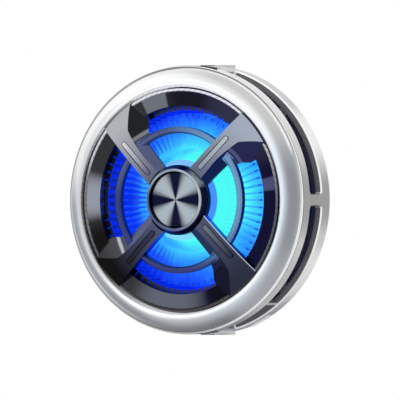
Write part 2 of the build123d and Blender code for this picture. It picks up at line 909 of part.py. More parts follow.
with BuildPart() as stator_core:
    with BuildSketch(station(stator_rear_at)):
        Circle(stator_yoke_radius)
        with PolarLocations(stator_radius / 2, tooth_count):
            Rectangle(stator_radius - tooth_tip_depth, tooth_width)
        for index in range(tooth_count):
            middle = index * full_turn / tooth_count
            add(
                sector(
                    stator_radius - tooth_tip_depth,
                    stator_radius,
                    middle - tooth_tip_angle / 2,
                    middle + tooth_tip_angle / 2,
                )
            )
        Circle(tube_radius, mode=Mode.SUBTRACT)
    extrude(amount=stator_height)

stator_core.part.label = "stator_core"
export_step(stator_core.part, "parts/stator_core.step")

# Stator coils: one winding round each tooth
coil_build = 0.45
coil_half_width = tooth_width / 2 + coil_build
coil_inner = stator_yoke_radius + 2 * glue_gap
coil_outer = sqrt((stator_radius - tooth_tip_depth) ** 2 - coil_half_width**2) - 2 * glue_gap
coil_length = coil_outer - coil_inner
coil_middle = (coil_inner + coil_outer) / 2

with BuildPart() as stator_coils:
    with BuildSketch(station(stator_rear_at - coil_build)):
        with PolarLocations(coil_middle, tooth_count):
            Rectangle(coil_length, 2 * coil_half_width)
    extrude(amount=stator_height + 2 * coil_build)
    with BuildSketch(station(stator_rear_at)):
        with PolarLocations(coil_middle, tooth_count):
            Rectangle(coil_length + overrun, tooth_width)
    extrude(amount=stator_height, mode=Mode.SUBTRACT)

stator_coils.part.label = "stator_coils"
export_step(stator_coils.part, "parts/stator_coils.step")

# Light board: ring under the impeller
light_board_gap = 0.5
light_board_bore = base_flange_radius + light_board_gap

with BuildPart() as light_board:
    revolve(
        ring(light_board_bore, light_board_radius, light_board_at, light_board_front_at),
        axis=Axis.Y,
    )
    with BuildSketch(station(light_board_at)):
        with Locations(*board_screw_spots):
            Circle(screw_radius + slip_gap)
    extrude(amount=board_thickness, mode=Mode.SUBTRACT)

light_board.part.label = "light_board"
export_step(light_board.part, "parts/light_board.step")

# LEDs on the light board
led_count = 12
led_circle_step = 6.2
led_circle = light_board_radius - led_circle_step
led_side = 2.0
led_height = 0.7

with BuildPart() as leds:
    with BuildSketch(station(light_board_front_at)):
        with PolarLocations(led_circle, led_count):
            Rectangle(led_side, led_side)
    extrude(amount=led_height)

leds.part.label = "leds"
export_step(leds.part, "parts/leds.step")

# Heat sink: base disc, radial fins, posts for the light board
fin_thickness = 0.7
fin_front_at = seam_at
post_radius = 1.6
notch_margin = 3.4
notch_half_width = port_width / 2 + notch_margin
notch_step = 4.9
board_arc_width = 2.7
board_arc_gap = 0.3
board_arc_outer = band_bore - board_arc_gap
board_arc_inner = board_arc_outer - board_arc_width
notch_from = board_arc_inner - notch_step
lead_radius = 0.45
fan_lead_radius = 0.5
fan_lead_hole = 1.0
fan_lead_step = 1.2
fan_lead_z = light_board_radius - fan_lead_step
clamp_screw_depth = 1.6
fin_tab_width = 1.7
fin_tab_thickness = 0.4

with BuildPart() as heat_sink:
    revolve(ring(0, fin_outer_radius, sink_rear_at, sink_front_at), axis=Axis.Y)
    with BuildSketch(station(sink_front_at - sink_base / 2)):
        with PolarLocations((fin_inner_radius + fin_outer_radius) / 2, blade_count):
            Rectangle(fin_outer_radius - fin_inner_radius, fin_thickness)
    extrude(amount=fin_front_at - sink_front_at + sink_base / 2)
    with BuildSketch(station(fin_front_at - fin_tab_thickness)):
        with PolarLocations((fin_inner_radius + fin_outer_radius) / 2, blade_count):
            Rectangle(fin_outer_radius - fin_inner_radius, fin_tab_width)
    extrude(amount=fin_tab_thickness)
    with BuildSketch(station(sink_front_at)):
        with Locations(*board_screw_spots):
            Circle(post_radius)
    extrude(amount=light_board_at - sink_front_at)
    with BuildSketch(station(sink_rear_at + sink_base / 2)):
        with Locations(*board_screw_spots):
            Circle(screw_radius + glue_gap)
    extrude(amount=light_board_at - sink_rear_at, mode=Mode.SUBTRACT)
    with BuildSketch(station(sink_rear_at)):
        with Locations((0, -notch_from - band_radius)):
            Rectangle(2 * notch_half_width, 2 * band_radius)
    extrude(amount=seam_at, mode=Mode.SUBTRACT)
    with BuildSketch(station(sink_rear_at)):
        with Locations((0, -fan_lead_z)):
            Circle(fan_lead_hole)
    extrude(amount=light_board_at - sink_rear_at, mode=Mode.SUBTRACT)
    with BuildSketch(station(sink_rear_at)):
        with Locations(*corner_spots_clamp):
            Circle(screw_radius + glue_gap)
    extrude(amount=clamp_screw_depth, mode=Mode.SUBTRACT)

heat_sink.part.label = "heat_sink"
export_step(heat_sink.part, "parts/heat_sink.step")

# Peltier cell, its thermal pads and the cold plate
with BuildPart() as hot_side_pad:
    with BuildSketch(station(hot_pad_at)):
        Rectangle(peltier_side, peltier_side)
    extrude(amount=pad_thickness)

hot_side_pad.part.label = "hot_side_pad"
export_step(hot_side_pad.part, "parts/hot_side_pad.step")

with BuildPart() as peltier_hot_plate:
    with BuildSketch(station(hot_ceramic_at)):
        Rectangle(peltier_side, peltier_side)
    extrude(amount=ceramic_thickness)

peltier_hot_plate.part.label = "peltier_hot_plate"
export_step(peltier_hot_plate.part, "parts/peltier_hot_plate.step")

pellet_rows = 8
pellet_side = 1.5
pellet_margin = 2.0
pellet_pitch = (peltier_side - pellet_margin) / pellet_rows

with BuildPart() as peltier_pellets:
    with BuildSketch(station(pellet_at)):
        with GridLocations(pellet_pitch, pellet_pitch, pellet_rows, pellet_rows):
            Rectangle(pellet_side, pellet_side)
    extrude(amount=pellet_height)

peltier_pellets.part.label = "peltier_pellets"
export_step(peltier_pellets.part, "parts/peltier_pellets.step")

with BuildPart() as peltier_cold_plate:
    with BuildSketch(station(cold_ceramic_at)):
        Rectangle(peltier_side, peltier_side)
    extrude(amount=ceramic_thickness)

peltier_cold_plate.part.label = "peltier_cold_plate"
export_step(peltier_cold_plate.part, "parts/peltier_cold_plate.step")

with BuildPart() as cold_side_pad:
    with BuildSketch(station(cold_top_at)):
        Rectangle(peltier_side, peltier_side)
    extrude(amount=pad_thickness)

cold_side_pad.part.label = "cold_side_pad"
export_step(cold_side_pad.part, "parts/cold_side_pad.step")

cold_chamfer = 0.3

with BuildPart() as cold_plate:
    revolve(
        turned(
            (0, 0),
            (cold_plate_radius - cold_chamfer, 0),
            (cold_plate_radius, cold_chamfer),
            (cold_plate_radius, cold_flange_at),
            (cold_flange_radius, cold_flange_at),
            (cold_flange_radius, cold_top_at),
            (0, cold_top_at),
        ),
        axis=Axis.Y,
    )

cold_plate.part.label = "cold_plate"
export_step(cold_plate.part, "parts/cold_plate.step")

# Foam frame round the Peltier cell
well_step = 0.2
well_radius = cold_flange_radius + well_step
foam_slack = 0.2
lead_channel = 5.2
channel_floor_at = 4.6

with BuildPart() as foam_frame:
    revolve(
        ring(0, well_radius - foam_slack / 2, cold_top_at, sink_rear_at - foam_slack / 2),
        axis=Axis.Y,
    )
    with BuildSketch(station(cold_top_at)):
        Rectangle(peltier_side + 2 * foam_slack, peltier_side + 2 * foam_slack)
    extrude(amount=sink_rear_at, mode=Mode.SUBTRACT)
    with BuildSketch(station(channel_floor_at)):
        with Locations((0, -well_radius)):
            Rectangle(lead_channel, well_radius)
    extrude(amount=sink_rear_at, mode=Mode.SUBTRACT)

foam_frame.part.label = "foam_frame"
export_step(foam_frame.part, "parts/foam_frame.step")

# Rear housing: cover disc, magnet body, cold plate well and two ears
cover_step = 1.2
pocket_wall = 0.8
pocket_rim = 1.8
cover_radius = band_radius - cover_step
pocket_inner = well_radius + pocket_wall
pocket_outer = magnet_body_radius - pocket_rim
pocket_at = 4.0
pad_seat_at = 0.6
ear_half_width = 4.1
ear_rear_at = 1.2
ear_round = 0.9
ear_depth = 10.45
ear_root = ear_radius - ear_depth
head_seat_at = pocket_at + screw_head_height
housing_seat_at = cover_rear_at + screw_head_height

with BuildPart() as ear_set:
    for upward in (1, -1):
        with BuildSketch(Plane.XY.offset(upward * ear_root)):
            with Locations((0, -(ear_rear_at + band_rear_at) / 2)):
                RectangleRounded(2 * ear_half_width, band_rear_at - ear_rear_at, ear_round)
        extrude(amount=upward * (ear_radius - ear_root))

with BuildPart() as rear_housing:
    revolve(
        turned(
            (cold_plate_radius + slip_gap, pad_seat_at),
            (pocket_inner, pad_seat_at),
            (pocket_inner, pocket_at),
            (pocket_outer, pocket_at),
            (pocket_outer, pad_seat_at),
            (magnet_body_radius, pad_seat_at),
            (magnet_body_radius, cover_rear_at),
            (cover_radius, cover_rear_at),
            (cover_radius, band_rear_at),
            (well_radius, band_rear_at),
            (well_radius, cold_flange_at),
            (cold_plate_radius + slip_gap, cold_flange_at),
        ),
        axis=Axis.Y,
    )
    add(ear_set.part)
    revolve(
        ring(pocket_inner, pocket_outer, 0, pocket_at),
        axis=Axis.Y,
        mode=Mode.SUBTRACT,
    )
    with BuildSketch(station(channel_floor_at)):
        with Locations((0, -well_radius - lead_channel / 2 + overrun)):
            Rectangle(lead_channel, lead_channel + 2 * overrun)
    extrude(amount=band_rear_at, mode=Mode.SUBTRACT)
    with BuildSketch(station(0)):
        with Locations(*corner_spots_clamp):
            Circle(screw_radius + slip_gap)
        with Locations(*corner_spots_housing):
            Circle(screw_radius + slip_gap)
    extrude(amount=seam_at, mode=Mode.SUBTRACT)
    with BuildSketch(station(0)):
        with Locations(*corner_spots_clamp):
            Circle(screw_head_radius + slip_gap)
    extrude(amount=head_seat_at, mode=Mode.SUBTRACT)
    with BuildSketch(station(0)):
        with Locations(*corner_spots_housing):
            Circle(screw_head_radius + slip_gap)
    extrude(amount=housing_seat_at, mode=Mode.SUBTRACT)

rear_housing.part.label = "rear_housing"
export_step(rear_housing.part, "parts/rear_housing.step")

# Magnet segments in the rear pocket, with a steel ring behind them
magnet_count = 16
magnet_gap_angle = 2.5
magnet_fit = 0.3
magnet_inner = pocket_inner + magnet_fit
magnet_outer = pocket_outer - magnet_fit
magnet_front_at = 3.3

with BuildPart() as phone_magnets:
    with BuildSketch(station(pad_seat_at)):
        for index in range(magnet_count):
            start = index * full_turn / magnet_count
            end = start + full_turn / magnet_count - magnet_gap_angle
            add(sector(magnet_inner, magnet_outer, start, end))
    extrude(amount=magnet_front_at - pad_seat_at)

phone_magnets.part.label = "phone_magnets"
export_step(phone_magnets.part, "parts/phone_magnets.step")

with BuildPart() as shunt_ring:
    revolve(ring(magnet_inner, magnet_outer, magnet_front_at, pocket_at), axis=Axis.Y)

shunt_ring.part.label = "shunt_ring"
export_step(shunt_ring.part, "parts/shunt_ring.step")

# Contact pad: soft ring that rests on the phone
with BuildPart() as contact_pad:
    revolve(
        ring(
            cold_plate_radius + 2 * slip_gap,
            magnet_body_radius - slip_gap,
            0,
            pad_seat_at,
        ),
        axis=Axis.Y,
    )

contact_pad.part.label = "contact_pad"
export_step(contact_pad.part, "parts/contact_pad.step")

# Control board: a tab for the port and an arc for the switch
board_arc_start = 235
board_arc_end = 305
board_slack = 0.3
board_tab_half = notch_half_width - board_slack
board_tab_from = notch_from + board_slack

with BuildPart() as control_board:
    with BuildSketch(station(band_rear_at)):
        add(sector(board_arc_inner, board_arc_outer, board_arc_start, board_arc_end))
        with Locations((0, -(board_tab_from + board_arc_inner + overrun) / 2)):
            Rectangle(2 * board_tab_half, board_arc_inner + overrun - board_tab_from)
    extrude(amount=board_thickness)

control_board.part.label = "control_board"
export_step(control_board.part, "parts/control_board.step")

# Controller chip on the arc of the board
chip_angle = 246
chip_length = 3.4
chip_width = 2.0
chip_height = 0.9

with BuildPart() as controller_chip:
    with BuildSketch(station(board_front_at)):
        with Locations(spot((board_arc_inner + board_arc_outer) / 2, chip_angle)):
            Rectangle(chip_width, chip_length, rotation=chip_angle)
    extrude(amount=chip_height)

controller_chip.part.label = "controller_chip"
export_step(controller_chip.part, "parts/controller_chip.step")

# USB-C socket: shell and tongue
port_recess = 0.4
port_mouth = band_radius - port_recess
port_back = port_mouth - port_length
port_floor = 1.0
tongue_width = 6.6
tongue_thickness = 0.7
tongue_length = 5.0

with BuildPart() as usb_c_shell:
    with BuildSketch(radial_plane(port_back, bottom_angle, port_at)):
        RectangleRounded(port_width, port_height, port_corner)
    extrude(amount=port_length)
    with BuildSketch(radial_plane(port_back + port_floor, bottom_angle, port_at)):
        RectangleRounded(
            port_width - 2 * port_wall,
            port_height - 2 * port_wall,
            port_corner - port_wall,
        )
    extrude(amount=port_length, mode=Mode.SUBTRACT)

usb_c_shell.part.label = "usb_c_shell"
export_step(usb_c_shell.part, "parts/usb_c_shell.step")

with BuildPart() as usb_c_tongue:
    with BuildSketch(radial_plane(port_back + port_floor, bottom_angle, port_at)):
        Rectangle(tongue_width, tongue_thickness)
    extrude(amount=tongue_length)

usb_c_tongue.part.label = "usb_c_tongue"
export_step(usb_c_tongue.part, "parts/usb_c_tongue.step")

# Mode button: pill cap with a flange behind the band wall
button_proud = 0.45
button_travel = 0.35
button_round = 0.25
flange_gap = 0.35
flange_front = band_bore - flange_gap
flange_thickness = 0.55
flange_extra_length = 0.7
flange_extra_width = 0.4
flange_length = pill_length + flange_extra_length
flange_width = pill_width + flange_extra_width

with BuildPart() as mode_button:
    with BuildSketch(radial_plane(flange_front - flange_thickness, button_angle, control_at)):
        SlotOverall(flange_length, flange_width)
    extrude(amount=flange_thickness)
    with BuildSketch(radial_plane(flange_front, button_angle, control_at)):
        SlotOverall(pill_length, pill_width)
    extrude(amount=band_radius + button_proud - flange_front)
    button_crown = mode_button.faces().sort_by(
        Axis((0, 0, 0), radial_plane(0, button_angle, 0).z_dir)
    )[-1]
    fillet(button_crown.edges(), radius=button_round)

mode_button.part.label = "mode_button"
export_step(mode_button.part, "parts/mode_button.step")

# Mode switch: body and plunger on the control board
switch_step = 0.2
switch_depth = 1.0
switch_inner = board_arc_inner + switch_step
switch_outer = switch_inner + switch_depth
switch_width = 3.5
plunger_radius = 0.6
plunger_tip = flange_front - flange_thickness - button_travel - slip_gap
switch_top_at = control_at + pill_width / 2

with BuildPart() as mode_switch:
    with BuildSketch(radial_plane(switch_inner, button_angle, (board_front_at + switch_top_at) / 2)):
        Rectangle(switch_width, switch_top_at - board_front_at)
    extrude(amount=switch_outer - switch_inner)
    with BuildSketch(radial_plane(switch_outer, button_angle, control_at)):
        Circle(plunger_radius)
    extrude(amount=plunger_tip - switch_outer)

mode_switch.part.label = "mode_switch"
export_step(mode_switch.part, "parts/mode_switch.step")

# Indicator: lens in the band and its LED on the board
lens_tail = 0.3
lens_length = band_wall + lens_tail
indicator_led_side = 1.0
indicator_led_length = 1.6

with BuildPart() as indicator_lens:
    with BuildSketch(radial_plane(band_radius - lens_length, indicator_angle, control_at)):
        Circle(lens_radius)
    extrude(amount=lens_length - glue_gap)

indicator_lens.part.label = "indicator_lens"
export_step(indicator_lens.part, "parts/indicator_lens.step")

with BuildPart() as indicator_led:
    led_start = band_radius - lens_length - slip_gap - indicator_led_length
    led_top_at = control_at + indicator_led_side / 2
    with BuildSketch(radial_plane(led_start, indicator_angle, (board_front_at + led_top_at) / 2)):
        Rectangle(indicator_led_side, led_top_at - board_front_at)
    extrude(amount=indicator_led_length)

indicator_led.part.label = "indicator_led"
export_step(indicator_led.part, "parts/indicator_led.step")

# Leads of the Peltier cell and the fan, along their channel to the board
lead_spacing = 1.65
lead_at = pellet_at + pellet_height / 2
lead_start_z = pellet_pitch * (pellet_rows - 1) / 2 + pellet_side / 2
lead_landing = 0.9
lead_end_z = board_tab_from + lead_landing
lead_bend_share = 0.45
lead_bend = lead_bend_share * (band_rear_at - lead_at) * 2


def lead_solid(radius, points):
    """Round lead along straight runs with tangent bends."""
    with BuildPart() as lead:
        with BuildLine() as route:
            FilletPolyline(*points, radius=lead_bend)
        with BuildSketch(Plane(origin=route.line @ 0, z_dir=route.line % 0)):
            Circle(radius)
        sweep()
    return lead.part


def peltier_route(x):
    """Straight out of the cell and up to the rear of the board."""
    return (
        (x, -lead_at, -lead_start_z),
        (x, -lead_at, -lead_end_z),
        (x, -band_rear_at, -lead_end_z),
    )


with BuildPart() as red_lead:
    add(lead_solid(lead_radius, peltier_route(-lead_spacing)))

red_lead.part.label = "red_lead"
export_step(red_lead.part, "parts/red_lead.step")

with BuildPart() as black_lead:
    add(lead_solid(lead_radius, peltier_route(lead_spacing)))

black_lead.part.label = "black_lead"
export_step(black_lead.part, "parts/black_lead.step")

with BuildPart() as fan_lead:
    add(
        lead_solid(
            fan_lead_radius,
            (
                (0, -light_board_at, -fan_lead_z),
                (0, -lead_at, -fan_lead_z),
                (0, -lead_at, -lead_end_z),
                (0, -band_rear_at, -lead_end_z),
            ),
        )
    )

fan_lead.part.label = "fan_lead"
export_step(fan_lead.part, "parts/fan_lead.step")

# Screws, each set one node
housing_screw_length = 4.2
clamp_screw_length = clamp_screw_depth + sink_rear_at - head_seat_at - slip_gap
grille_screw_length = 3.9
board_screw_length = 3.6


def screw_set(spots, seat, length, facing):
    """Pan head screws; facing is 1 when the heads look to the front."""
    with BuildPart() as screws:
        with BuildSketch(station(seat)):
            with Locations(*spots):
                Circle(screw_head_radius)
        extrude(amount=facing * screw_head_height)
        with BuildSketch(station(seat)):
            with Locations(*spots):
                Circle(screw_radius)
        extrude(amount=-facing * length)
        with BuildSketch(station(seat + facing * (screw_head_height - drive_depth))):
            with Locations(*spots):
                RegularPolygon(drive_radius, drive_sides)
        extrude(amount=facing * screw_head_height, mode=Mode.SUBTRACT)
    return screws.part


with BuildPart() as housing_screws:
    add(screw_set(corner_spots_housing, housing_seat_at, housing_screw_length, -1))

housing_screws.part.label = "housing_screws"
export_step(housing_screws.part, "parts/housing_screws.step")

with BuildPart() as clamp_screws:
    add(screw_set(corner_spots_clamp, head_seat_at, clamp_screw_length, -1))

clamp_screws.part.label = "clamp_screws"
export_step(clamp_screws.part, "parts/clamp_screws.step")

with BuildPart() as grille_screws:
    add(screw_set(corner_spots_grille, grille_front_at, grille_screw_length, 1))

grille_screws.part.label = "grille_screws"
export_step(grille_screws.part, "parts/grille_screws.step")

with BuildPart() as board_screws:
    add(screw_set(board_screw_spots, light_board_front_at, board_screw_length, 1))

board_screws.part.label = "board_screws"
export_step(board_screws.part, "parts/board_screws.step")
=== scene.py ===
import json
import math
from types import SimpleNamespace

import bpy
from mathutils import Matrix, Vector

# The frame: row coordinates in metres, fan axis Y, front towards -Y, +Z up
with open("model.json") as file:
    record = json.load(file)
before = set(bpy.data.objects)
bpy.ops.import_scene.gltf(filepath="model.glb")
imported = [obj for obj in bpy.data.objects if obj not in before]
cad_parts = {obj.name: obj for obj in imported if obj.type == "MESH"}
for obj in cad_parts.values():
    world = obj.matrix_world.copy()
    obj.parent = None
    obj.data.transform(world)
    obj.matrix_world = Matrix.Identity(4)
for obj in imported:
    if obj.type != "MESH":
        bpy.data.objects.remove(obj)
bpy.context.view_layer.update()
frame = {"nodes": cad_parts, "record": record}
nodes = frame["nodes"]
MM = 0.001

# Millimetres from the rear face to the seam between bezel and band
SEAM_AT = 21.0

# The camera, at the photograph's angle
PHOTO_AZIMUTH = math.radians(29.7)
CAMERA_DISTANCE = 3.0
CAMERA_LENS = 1029.6
CAMERA_SENSOR = 36
CAMERA_NEAR = 0.05
CAMERA_FAR = 20
CAMERA_TARGET = Vector((0, -13.5 * MM, 0))

camera_data = bpy.data.cameras.new("camera")
camera_data.lens = CAMERA_LENS
camera_data.sensor_width = CAMERA_SENSOR
camera_data.clip_start = CAMERA_NEAR
camera_data.clip_end = CAMERA_FAR
camera = bpy.data.objects.new("camera", camera_data)
camera.location = CAMERA_TARGET + CAMERA_DISTANCE * Vector(
    (math.sin(PHOTO_AZIMUTH), -math.cos(PHOTO_AZIMUTH), 0)
)
camera.rotation_euler = (math.radians(90), 0, PHOTO_AZIMUTH)
bpy.context.collection.objects.link(camera)
bpy.context.scene.camera = camera
bpy.context.scene.view_settings.view_transform = "Standard"

# Shades that several finishes share, as screen colours
NIGHT = (10, 14, 44)
NAVY = (44, 50, 98)
STEEL = (78, 88, 126)
PALE_STEEL = (162, 173, 182)

# Softness in radians of the ends of a sharp facet and of a soft arc
FACET_EDGE = 0.02
ARC_EDGE = 0.1

# The Y part of a normal where a surface starts to face the front, and where it fully does
FRONT_FROM = -0.9
FRONT_FULL = -0.97

# The range that most values of a noise fall in, and how rough the noise is
NOISE_RANGE = (0.3, 0.7)
NOISE_ROUGHNESS = 0.55


# Node trees
class Tree:
    """A material's node tree, with short calls for what the materials share."""

    def __init__(self, name):
        self.material = bpy.data.materials.new(name)
        self.material.use_nodes = True
        self.nodes = self.material.node_tree.nodes
        self.links = self.material.node_tree.links
        self.shader = self.nodes["Principled BSDF"]
        self.cache = {}

    def feed(self, socket, value):
        """Sets a socket to a value, or links it to another socket."""
        if isinstance(value, bpy.types.NodeSocket):
            self.links.new(value, socket)
        else:
            socket.default_value = value

    def math(self, operation, first, second=0.0):
        node = self.nodes.new("ShaderNodeMath")
        node.operation = operation
        self.feed(node.inputs[0], first)
        self.feed(node.inputs[1], second)
        return node.outputs[0]

    def product(self, *factors):
        """Multiplies any number of values."""
        result = factors[0]
        for factor in factors[1:]:
            result = self.math("MULTIPLY", result, factor)
        return result

    def position(self):
        """Place in millimetres, its x, y and z, and its radius and polar angle about the fan axis."""
        if "position" not in self.cache:
            coords = self.nodes.new("ShaderNodeTexCoord").outputs["Object"]
            scale = self.nodes.new("ShaderNodeVectorMath")
            scale.operation = "SCALE"
            self.links.new(coords, scale.inputs[0])
            scale.inputs["Scale"].default_value = 1 / MM
            parts = self.nodes.new("ShaderNodeSeparateXYZ")
            self.links.new(scale.outputs[0], parts.inputs[0])
            x, y, z = parts.outputs
            across = self.math("ADD", self.product(x, x), self.product(z, z))
            self.cache["position"] = SimpleNamespace(
                x=x,
                y=y,
                z=z,
                radius=self.math("SQRT", across),
                angle=self.math("ARCTAN2", z, x),
                place=scale.outputs[0],
            )
        return self.cache["position"]

    def rise(self):
        """Height in millimetres ahead of the seam between bezel and band."""
        return self.math("SUBTRACT", -SEAM_AT, self.position().y)

    def normal(self):
        """The x and y parts of the surface's own normal in row coordinates."""
        if "normal" not in self.cache:
            parts = self.nodes.new("ShaderNodeSeparateXYZ")
            coords = self.nodes.new("ShaderNodeTexCoord").outputs["Normal"]
            self.links.new(coords, parts.inputs[0])
            self.cache["normal"] = SimpleNamespace(x=parts.outputs[0], y=parts.outputs[1])
        return self.cache["normal"]

    def frontal(self, start=FRONT_FROM, full=FRONT_FULL):
        """One where the surface faces the front."""
        return self.span(self.normal().y, start, full)

    def join(self, x, y, z):
        node = self.nodes.new("ShaderNodeCombineXYZ")
        for socket, value in zip(node.inputs, (x, y, z)):
            self.feed(socket, value)
        return node.outputs[0]

    def noise(self, vector, scale, detail=4.0):
        node = self.nodes.new("ShaderNodeTexNoise")
        self.feed(node.inputs["Vector"], vector)
        node.inputs["Scale"].default_value = scale
        node.inputs["Detail"].default_value = detail
        node.inputs["Roughness"].default_value = NOISE_ROUGHNESS
        return node.outputs["Fac"]

    def rings(self, pitch):
        """Noise in rings about the fan axis."""
        return self.noise(self.join(self.product(self.position().radius, pitch), 0.0, 0.0), 1.0)

    def brushing(self, turn, pitch, scale, detail):
        """Noise drawn out into lines round the rim."""
        at = self.position()
        lines = self.join(self.product(at.angle, turn), self.product(at.y, pitch), 0.0)
        return self.noise(lines, scale, detail)

    def knurl(self, turn, along, pitch):
        """Wave that runs round the rim at a slant."""
        slant = self.math(
            "ADD", self.product(self.position().angle, turn), self.product(along, pitch)
        )
        return self.math("SINE", slant)

    def span(self, value, low, high, to_low=0.0, to_high=1.0, smooth=False):
        """Maps a range of one value to another range, held at both ends."""
        node = self.nodes.new("ShaderNodeMapRange")
        node.interpolation_type = "SMOOTHSTEP" if smooth else "LINEAR"
        for name, number in (
            ("Value", value),
            ("From Min", low),
            ("From Max", high),
            ("To Min", to_low),
            ("To Max", to_high),
        ):
            self.feed(node.inputs[name], number)
        return node.outputs[0]

    def within(self, value, low, high, edge):
        """One between two limits and nothing outside them, with soft edges."""
        return self.math(
            "MINIMUM", self.span(value, low - edge, low), self.span(value, high + edge, high)
        )

    def mix(self, factor, first, second, blend="MIX"):
        """Blends two colours."""
        node = self.nodes.new("ShaderNodeMix")
        node.data_type = "RGBA"
        node.blend_type = blend
        self.feed(node.inputs["Factor"], factor)
        for socket, value in ((node.inputs[6], first), (node.inputs[7], second)):
            self.feed(socket, value if isinstance(value, bpy.types.NodeSocket) else (*value, 1))
        return node.outputs[2]

    def layers(self, colour, *steps):
        """Lays colours over one another, each with its mask."""
        for mask, over in steps:
            colour = self.mix(mask, colour, over)
        return colour

    def grain(self, colour, value, depth, low=NOISE_RANGE[0], high=NOISE_RANGE[1]):
        """Makes a colour a little darker and lighter where a value is low and high."""
        grey = self.mix(self.span(value, low, high), (1 - depth,) * 3, (1 + depth,) * 3)
        return self.mix(1.0, colour, grey, "MULTIPLY")

    def ramp(self, value, stops):
        """Colour ramp through (place, colour) stops."""
        node = self.nodes.new("ShaderNodeValToRGB")
        ramp = node.color_ramp
        while len(ramp.elements) < len(stops):
            ramp.elements.new(0.5)
        for element, (place, colour) in zip(ramp.elements, stops):
            element.position = place
            element.color = (*colour, 1)
        self.feed(node.inputs[0], value)
        return node.outputs["Color"]

    def toward(self, middle):
        """Cosine of the turn from a polar angle in degrees."""
        turned = self.math("SUBTRACT", self.position().angle, math.radians(middle))
        return self.math("COSINE", turned)

    def lobe(self, middle, reach):
        """One at a polar angle in degrees, fading to nothing at a reach to either side."""
        return self.span(self.toward(middle), math.cos(math.radians(reach)), 1.0, smooth=True)

    def reflect(self, colour, *lobes):
        """Lays broad reflections over a colour, each (middle, reach, shade)."""
        for middle, reach, over in lobes:
            colour = self.mix(self.lobe(middle, reach), colour, tone(over))
        return colour

    def sheen(self, base, *lobes):
        """A base shade with broad reflections, each (middle, reach, shade)."""
        return self.reflect(tone(base), *lobes)

    def arc(self, first, last, edge=ARC_EDGE):
        """One between two polar angles in degrees."""
        return self.within(self.position().angle, math.radians(first), math.radians(last), edge)

    def quarters(self, upper_right, upper_left, lower_left, lower_right):
        """One colour for each spoke."""
        at = self.position()
        right = self.span(at.x, -1.0, 1.0)
        lower = self.mix(right, tone(lower_left), tone(lower_right))
        upper = self.mix(right, tone(upper_left), tone(upper_right))
        return self.mix(self.span(at.z, -1.0, 1.0), lower, upper)

    def bump(self, height, strength, distance):
        node = self.nodes.new("ShaderNodeBump")
        node.inputs["Strength"].default_value = strength
        node.inputs["Distance"].default_value = distance
        self.links.new(height, node.inputs["Height"])
        self.links.new(node.outputs[0], self.shader.inputs["Normal"])

    def set(self, **values):
        """Sets or links inputs of the shader; an underscore stands for a space."""
        for name, value in values.items():
            self.feed(self.shader.inputs[name.replace("_", " ")], value)


def srgb(red, green, blue):
    """Linear colour of an eight-bit screen colour."""
    return tuple(
        c / 12.92 / 255 if c <= 10 else ((c / 255 + 0.055) / 1.055) ** 2.4
        for c in (red, green, blue)
    )


def tone(colour):
    """Linear colour of a screen colour, or of one grey level."""
    return srgb(*colour) if isinstance(colour, tuple) else srgb(colour, colour, colour)


def shade(colour, factor):
    return tuple(c * factor for c in colour)


def plain(name, colour, metallic, rough, scale=2.0, tint=0.06, spread=0.06, relief=0.004):
    """Surface with a fine grain in its colour, gloss and relief; scale is per millimetre."""
    tree = Tree(name)
    place = tree.position().place
    broad = tree.noise(place, 0.12, 3.0)
    fine = tree.noise(place, scale, 5.0)
    both = tree.math("ADD", tree.product(broad, 0.5), tree.product(fine, 0.5))
    factor = tree.span(both, *NOISE_RANGE)
    tree.set(
        Base_Color=tree.mix(factor, shade(colour, 1 - tint), shade(colour, 1 + tint)),
        Metallic=metallic,
        Roughness=tree.span(fine, *NOISE_RANGE, max(rough - spread, 0.03), rough + spread),
    )
    tree.bump(fine, 0.35, relief * MM)
    return tree.material


def painted(tree, colour, metallic, rough, value, depth=0.04, relief=0.002):
    """Finishes a tree whose colour is worked out already."""
    tree.set(
        Base_Color=tree.grain(colour, value, depth),
        Metallic=metallic,
        Roughness=tree.span(value, *NOISE_RANGE, rough - 0.03, rough + 0.03),
    )
    tree.bump(value, 0.25, relief * MM)
    return tree.material


